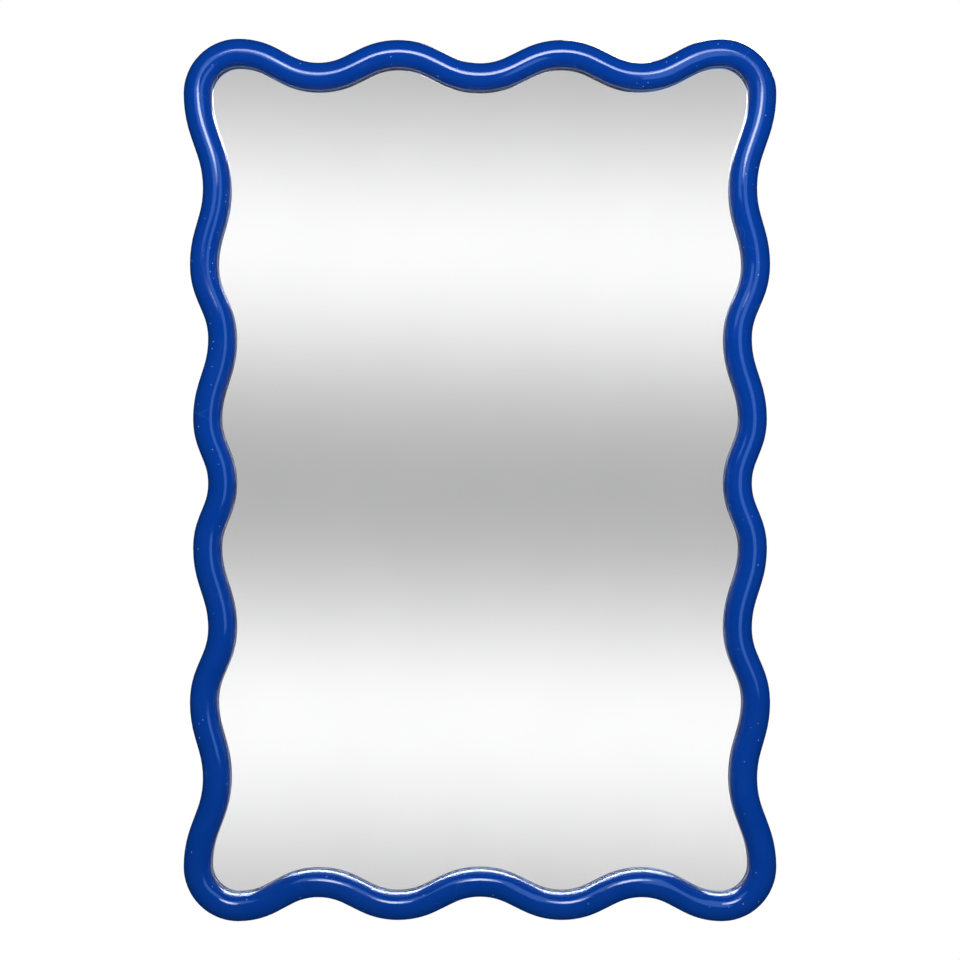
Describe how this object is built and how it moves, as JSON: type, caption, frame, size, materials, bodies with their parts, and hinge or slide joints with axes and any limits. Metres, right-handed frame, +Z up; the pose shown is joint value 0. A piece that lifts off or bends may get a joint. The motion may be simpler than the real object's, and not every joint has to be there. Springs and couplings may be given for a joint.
{
  "type": "wavy framed wall mirror",
  "caption": "Rectangular wall mirror in a glossy half-round frame that waves in and out along every side, hung by D-rings on the back.",
  "frame": {"origin": "middle of the wall plane, which the four rubber bumpers on the back touch", "axes": "+X to the viewer's right, +Z up, the glass faces -Y and the wall is on the +Y side"},
  "size_m": [0.61, 0.034, 0.908],
  "materials": {
    "blue_lacquer": "high gloss blue lacquer over fibreboard",
    "silvered_glass": "silvered float glass",
    "fibreboard": "bare hardboard",
    "beech": "plain turned beech",
    "white_foam": "white polyethylene foam tape",
    "zinc_plated_steel": "bright zinc plating",
    "nickel_plated_wire": "bright nickel plating",
    "clear_grey_rubber": "moulded rubber, satin"
  },
  "bodies": {
    "mirror": {"top_rail": "blue_lacquer", "bottom_rail": "blue_lacquer", "left_stile": "blue_lacquer", "right_stile": "blue_lacquer", "foam_tape_top": "white_foam", "foam_tape_bottom": "white_foam", "foam_tape_left": "white_foam", "foam_tape_right": "white_foam", "corner_dowels": "beech", "mirror_glass": "silvered_glass", "back_board": "fibreboard", "back_board_screws": "zinc_plated_steel", "hanger_screws": "zinc_plated_steel", "hanger_strap_left": "zinc_plated_steel", "hanger_strap_right": "zinc_plated_steel", "hanger_strap_top": "zinc_plated_steel", "hanger_strap_bottom": "zinc_plated_steel", "wall_bumper_top_left": "clear_grey_rubber", "wall_bumper_top_right": "clear_grey_rubber", "wall_bumper_bottom_left": "clear_grey_rubber", "wall_bumper_bottom_right": "clear_grey_rubber"},
    "ring_left": {"d_ring_left": "nickel_plated_wire"},
    "ring_right": {"d_ring_right": "nickel_plated_wire"},
    "ring_top": {"d_ring_top": "nickel_plated_wire"},
    "ring_bottom": {"d_ring_bottom": "nickel_plated_wire"}
  },
  "joints": [
    {"name": "d_ring_left_turn", "type": "hinge", "parent": "mirror", "child": "ring_left", "pos_m": [-0.28342, -0.00364, 0.22835], "axis": [1, 0, 0], "range_deg": [0, 180]},
    {"name": "d_ring_right_turn", "type": "hinge", "parent": "mirror", "child": "ring_right", "pos_m": [0.28342, -0.00364, 0.22835], "axis": [1, 0, 0], "range_deg": [0, 180]},
    {"name": "d_ring_top_turn", "type": "hinge", "parent": "mirror", "child": "ring_top", "pos_m": [-0.09115, -0.00364, 0.43759], "axis": [0, 0, 1], "range_deg": [0, 180]},
    {"name": "d_ring_bottom_turn", "type": "hinge", "parent": "mirror", "child": "ring_bottom", "pos_m": [-0.09115, -0.00364, -0.43759], "axis": [0, 0, 1], "range_deg": [0, 180]}
  ]
}
